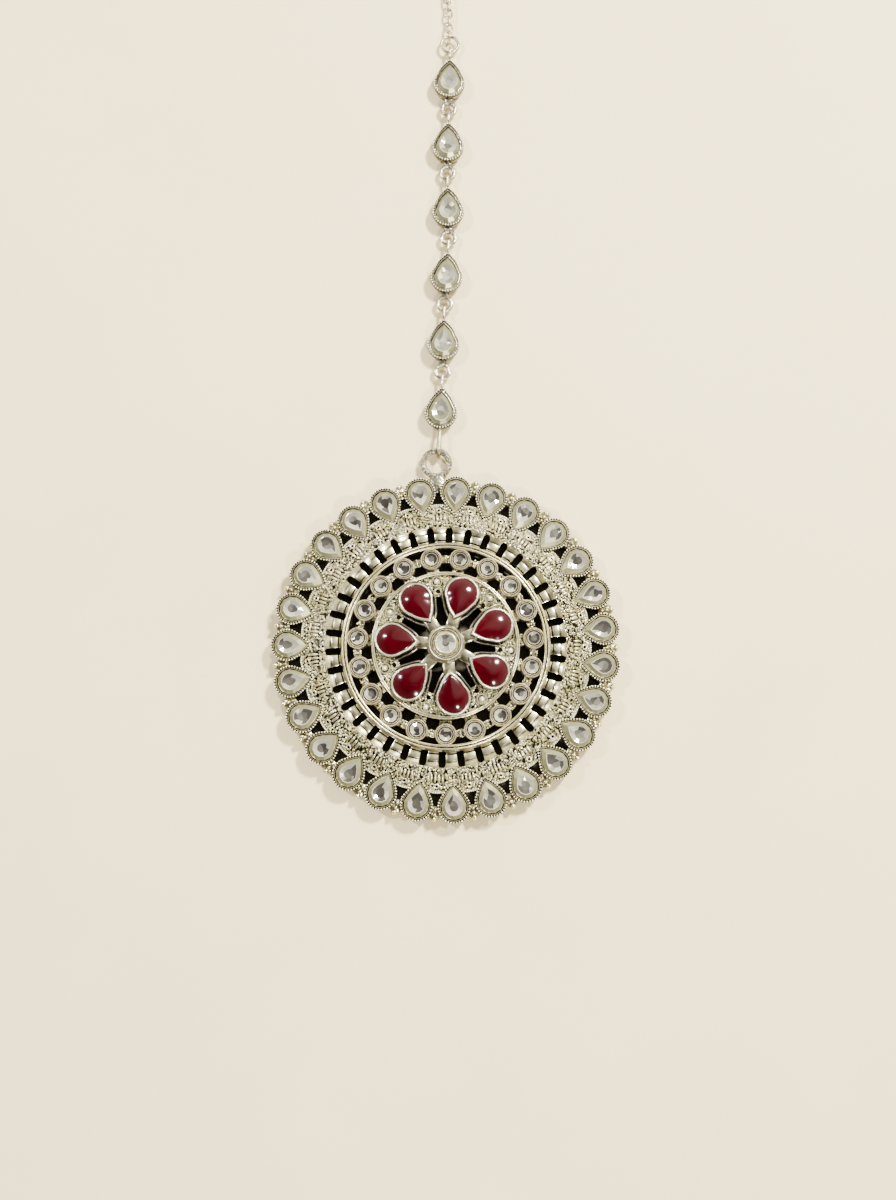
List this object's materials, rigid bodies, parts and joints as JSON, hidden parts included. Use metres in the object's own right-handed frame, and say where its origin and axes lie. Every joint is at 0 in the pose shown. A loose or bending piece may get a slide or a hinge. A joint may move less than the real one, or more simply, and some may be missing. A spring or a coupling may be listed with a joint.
{
  "type": "maang tikka",
  "caption": "Round pierced silver-plated forehead pendant with a red-stone flower and clear pear stones, on a line of stone-set links, a fine chain and a hair hook.",
  "frame": {"origin": "middle of the pendant's flat back, under the centre stone", "axes": "+Z out of the pendant's face, +Y along the line of links towards the hair hook, +X to the wearer's left side of the face-up view (right in the picture)"},
  "size_m": [0.054, 0.1517, 0.0073],
  "materials": {
    "silver_plate": "polished warm silver plate on cast white metal, oxidised in the recesses",
    "clear_stone": "clear faceted glass over foil",
    "red_stone": "deep red polished glass cabochon"
  },
  "bodies": {
    "root": {"pendant_frame": "silver_plate", "rim_stone_01": "clear_stone", "rim_stone_02": "clear_stone", "rim_stone_03": "clear_stone", "rim_stone_04": "clear_stone", "rim_stone_05": "clear_stone", "rim_stone_06": "clear_stone", "rim_stone_07": "clear_stone", "rim_stone_08": "clear_stone", "rim_stone_09": "clear_stone", "rim_stone_10": "clear_stone", "rim_stone_11": "clear_stone", "rim_stone_12": "clear_stone", "rim_stone_13": "clear_stone", "rim_stone_14": "clear_stone", "rim_stone_15": "clear_stone", "rim_stone_16": "clear_stone", "rim_stone_17": "clear_stone", "rim_stone_18": "clear_stone", "rim_stone_19": "clear_stone", "rim_stone_20": "clear_stone", "rim_stone_21": "clear_stone", "rim_stone_22": "clear_stone", "rim_stone_23": "clear_stone", "rim_stone_24": "clear_stone", "rim_stone_25": "clear_stone", "rim_stone_26": "clear_stone", "rim_stone_27": "clear_stone", "petal_stone_1": "red_stone", "petal_stone_2": "red_stone", "petal_stone_3": "red_stone", "petal_stone_4": "red_stone", "petal_stone_5": "red_stone", "petal_stone_6": "red_stone", "petal_stone_7": "red_stone", "centre_stone": "clear_stone", "link_setting_1": "silver_plate", "link_stone_1": "clear_stone", "link_setting_2": "silver_plate", "link_stone_2": "clear_stone", "link_setting_3": "silver_plate", "link_stone_3": "clear_stone", "link_setting_4": "silver_plate", "link_stone_4": "clear_stone", "link_setting_5": "silver_plate", "link_stone_5": "clear_stone", "link_setting_6": "silver_plate", "link_stone_6": "clear_stone", "jump_ring": "silver_plate", "fine_chain": "silver_plate", "hair_hook": "silver_plate"}
  },
  "joints": []
}
